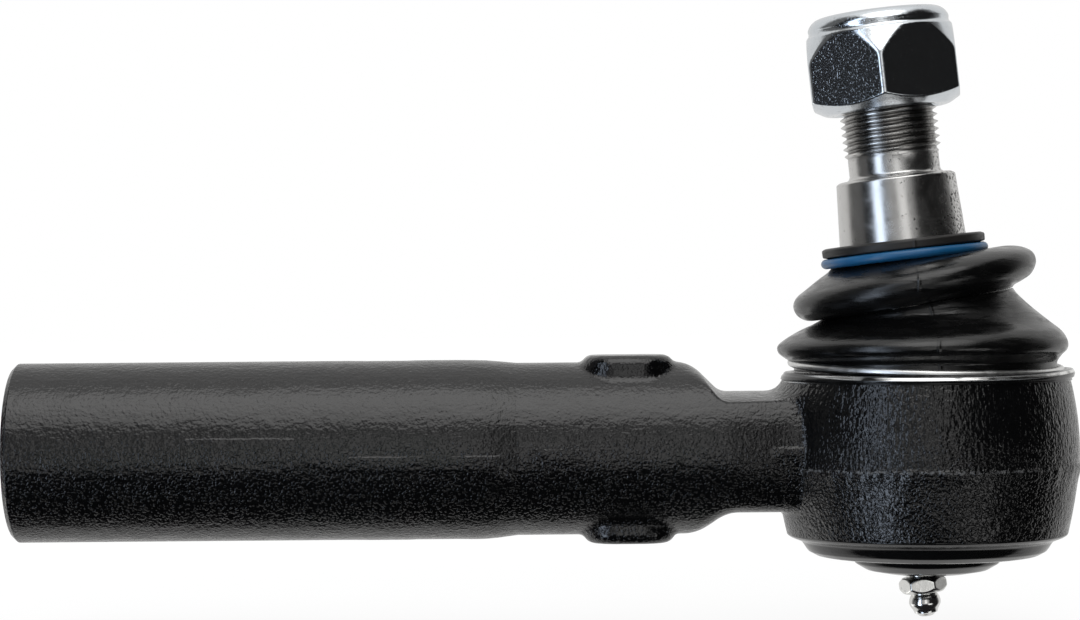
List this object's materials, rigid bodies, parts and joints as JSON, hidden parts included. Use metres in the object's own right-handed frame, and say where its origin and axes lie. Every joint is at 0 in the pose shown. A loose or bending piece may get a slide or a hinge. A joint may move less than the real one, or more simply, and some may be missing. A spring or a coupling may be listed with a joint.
{
  "type": "tie rod end",
  "caption": "Steering tie rod end with a female-threaded forged shank, a tapered ball stud with lock nut, a two-fold rubber boot and a grease nipple under the cover.",
  "frame": {"origin": "centre of the ball, where the stud swings and spins", "axes": "+Z along the housing's axis towards the stud, -X along the shank towards its threaded open end, +Y to complete a right-handed frame; the stud leans 6 degrees from +Z towards the shank"},
  "size_m": [0.2185, 0.0624, 0.1256],
  "materials": {
    "black_paint": "semi-gloss black paint over a rough forged skin, smooth and glossy where it was turned",
    "cover_paint": "semi-gloss black paint over pressed sheet",
    "stud_steel": "ground and oiled steel with fine turning marks and small rust specks",
    "seat_plastic": "natural acetal",
    "spring_steel": "phosphated spring steel",
    "boot_rubber": "satin black rubber",
    "seal_rubber": "matt black rubber",
    "ring_wire": "gloss black steel wire",
    "ring_blue": "satin blue moulded elastic ring",
    "nut_zinc": "bright zinc plate",
    "nylon": "natural nylon",
    "nipple_zinc": "bright zinc plate"
  },
  "bodies": {
    "housing_body": {"housing": "black_paint", "upper_seat": "seat_plastic", "cover_plate": "cover_paint", "cover_seal": "seal_rubber", "preload_spring": "spring_steel", "boot_lower_ring": "ring_wire", "grease_nipple": "nipple_zinc", "nipple_spring": "spring_steel"},
    "lower_seat_body": {"lower_seat": "seat_plastic"},
    "check_ball_body": {"nipple_check_ball": "spring_steel"},
    "boot_body": {"boot": "boot_rubber"},
    "boot_head_body": {"boot_upper_ring": "ring_blue"},
    "stud_body": {"ball_stud": "stud_steel"},
    "nut_ring_body": {"nut_nylon_ring": "nylon"},
    "nut_body": {"lock_nut": "nut_zinc"}
  },
  "joints": [
    {"name": "swing_along", "type": "hinge", "parent": "housing_body", "child": "boot_body", "pos_m": [0, 0, 0], "axis": [0, 1, 0], "range_deg": [-12, 24], "deforming": ["boot"]},
    {"name": "swing_across", "type": "hinge", "parent": "boot_body", "child": "boot_head_body", "pos_m": [0, 0, 0], "axis": [0.9945, 0, 0.1045], "range_deg": [-15, 15]},
    {"name": "stud_spin", "type": "hinge", "parent": "boot_head_body", "child": "stud_body", "pos_m": [0, 0, 0], "axis": [-0.1045, 0, 0.9945], "continuous": true},
    {"name": "nut_travel", "type": "slide", "parent": "stud_body", "child": "nut_ring_body", "axis": [-0.1045, 0, 0.9945], "range_m": [-0.009, 0.0195]},
    {"name": "nut_turn", "type": "hinge", "parent": "nut_ring_body", "child": "nut_body", "pos_m": [-0.00826, 0, 0.07857], "axis": [-0.1045, 0, 0.9945], "range_deg": [-2161, 4681]},
    {"name": "lower_seat_give", "type": "slide", "parent": "housing_body", "child": "lower_seat_body", "axis": [0, 0, 1], "range_m": [-0.0004, 0], "stiffness_N_per_m": 50000, "springref_m": 0.0004, "deforming": ["preload_spring"]},
    {"name": "check_ball_lift", "type": "slide", "parent": "housing_body", "child": "check_ball_body", "axis": [-0.1045, 0, 0.9945], "range_m": [0, 0.0012], "stiffness_N_per_m": 60, "springref_m": -0.002, "deforming": ["nipple_spring"]}
  ],
  "couplings": [
    {"joint": "nut_turn", "follows": "nut_travel", "rad_per_m": 4188.8}
  ]
}
